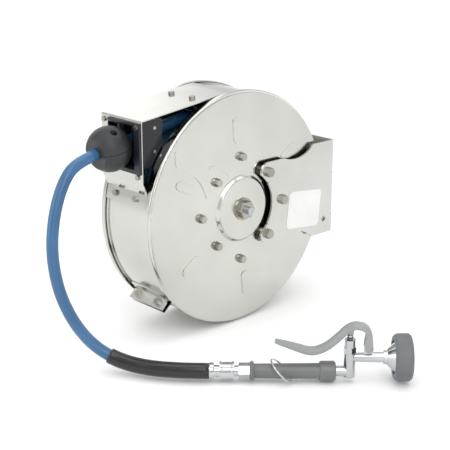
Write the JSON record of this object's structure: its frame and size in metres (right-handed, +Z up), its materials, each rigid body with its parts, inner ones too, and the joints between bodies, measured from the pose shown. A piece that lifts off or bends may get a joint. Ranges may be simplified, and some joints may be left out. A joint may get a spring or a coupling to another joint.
{
  "type": "hose reel",
  "caption": "Enclosed spring-rewind hose reel on a wall bracket, with roller outlet, ball stop, hanging hose and a lever spray valve.",
  "frame": {"origin": "middle of the bracket's wall face", "axes": "+X out of the back of the bracket into the wall, +Y along the reel's axle towards the water inlet, +Z up"},
  "size_m": [0.5088, 0.4873, 0.3532],
  "materials": {
    "polished_stainless": "polished stainless sheet",
    "bracket_stainless": "satin stainless sheet",
    "bolt_steel": "stainless fastener",
    "hub_steel": "machined steel",
    "spring_steel": "spring steel",
    "brass": "machined brass",
    "black_plastic": "moulded black plastic",
    "bronze_bush": "sintered bronze",
    "seal_rubber": "black rubber",
    "blue_hose": "smooth blue hose cover",
    "black_sleeve": "smooth black sleeve",
    "ball_rubber": "dark grey rubber",
    "chrome": "bright chrome",
    "grey_grip": "grey moulded grip",
    "grey_lever": "satin grey lever",
    "bumper_rubber": "black rubber bumper"
  },
  "bodies": {
    "housing": {"mounting_bracket": "bracket_stainless", "near_side_disc": "polished_stainless", "far_side_disc": "polished_stainless", "drum_band": "polished_stainless", "outlet_guard": "polished_stainless", "guard_bolts": "bolt_steel", "clamp_angles": "bracket_stainless", "clamp_bolts": "bolt_steel", "arm_bolts": "bolt_steel", "arm_spacers": "bolt_steel", "disc_bolts": "bolt_steel", "hub_plates": "hub_steel", "axle": "hub_steel", "axle_nuts": "bolt_steel", "inlet_elbow": "brass", "spring_arbor": "hub_steel", "power_spring": "spring_steel", "pawl_pin": "bolt_steel", "pawl_spring": "spring_steel", "roller_frame": "black_plastic", "guide_bezel": "black_plastic", "guide_screws": "bolt_steel", "roller_pins": "bolt_steel", "hose_lead": "blue_hose", "hose_free": "blue_hose", "hose_sleeve": "black_sleeve", "ball_upper": "ball_rubber", "ball_lower": "ball_rubber", "ball_screws": "bolt_steel", "hose_ferrule": "chrome", "hose_stem": "chrome"},
    "spool": {"spool_hub": "hub_steel", "spool_flange_near": "hub_steel", "spool_flange_far": "hub_steel", "spring_canister": "hub_steel", "canister_cover": "hub_steel", "swivel_body": "brass", "swivel_seals": "seal_rubber", "axle_bushes": "bronze_bush", "outlet_pipe": "brass", "hose_wound": "blue_hose", "ratchet_ring": "hub_steel"},
    "pawl": {"pawl": "hub_steel"},
    "roller_vertical_near": {"roller_vertical_near": "black_plastic"},
    "roller_vertical_far": {"roller_vertical_far": "black_plastic"},
    "roller_lower": {"roller_lower": "black_plastic"},
    "roller_upper": {"roller_upper": "black_plastic"},
    "valve": {"swivel_nut": "chrome", "valve_inlet": "chrome", "grip": "grey_grip", "grip_collar": "grey_grip", "valve_body": "chrome", "bonnet": "chrome", "spray_head": "chrome", "bumper_ring": "bumper_rubber", "lever_pivot": "bolt_steel", "valve_spring": "spring_steel"},
    "lever": {"lever": "grey_lever"},
    "stem": {"stem": "chrome"},
    "hook_ring": {"hook_ring": "chrome"}
  },
  "joints": [
    {"name": "spool_spin", "type": "hinge", "parent": "housing", "child": "spool", "pos_m": [-0.193, 0, 0], "axis": [0, 1, 0], "continuous": true},
    {"name": "pawl_swing", "type": "hinge", "parent": "housing", "child": "pawl", "pos_m": [-0.163, 0, -0.068], "axis": [0, -1, 0], "range_deg": [0, 7], "stiffness_Nm_per_rad": 0.002},
    {"name": "roller_vertical_near_spin", "type": "hinge", "parent": "housing", "child": "roller_vertical_near", "pos_m": [-0.353, -0.01675, 0.118], "axis": [0, 0, 1], "continuous": true},
    {"name": "roller_vertical_far_spin", "type": "hinge", "parent": "housing", "child": "roller_vertical_far", "pos_m": [-0.353, 0.01675, 0.118], "axis": [0, 0, 1], "continuous": true},
    {"name": "roller_lower_spin", "type": "hinge", "parent": "housing", "child": "roller_lower", "pos_m": [-0.336, 0, 0.10585], "axis": [0, 1, 0], "continuous": true},
    {"name": "roller_upper_spin", "type": "hinge", "parent": "housing", "child": "roller_upper", "pos_m": [-0.336, 0, 0.13935], "axis": [0, 1, 0], "continuous": true},
    {"name": "valve_swivel", "type": "hinge", "parent": "housing", "child": "valve", "pos_m": [-0.35775, -0.19581, -0.1624], "axis": [0.7325, -0.6807, 0], "continuous": true},
    {"name": "lever_squeeze", "type": "hinge", "parent": "valve", "child": "lever", "pos_m": [-0.21688, -0.32672, -0.1281], "axis": [-0.6807, -0.7325, 0], "range_deg": [0, 8], "stiffness_Nm_per_rad": 1.5, "springref_deg": -4.01},
    {"name": "stem_press", "type": "slide", "parent": "valve", "child": "stem", "axis": [0, 0, -1], "range_m": [0, 0.00346], "deforming": ["valve_spring"]},
    {"name": "hook_ring_swing", "type": "hinge", "parent": "valve", "child": "hook_ring", "pos_m": [-0.30083, -0.24871, -0.1624], "axis": [-0.6807, -0.7325, 0], "range_deg": [-98, 8]}
  ],
  "couplings": [
    {"joint": "stem_press", "follows": "lever_squeeze", "m_per_rad": 0.024775}
  ]
}
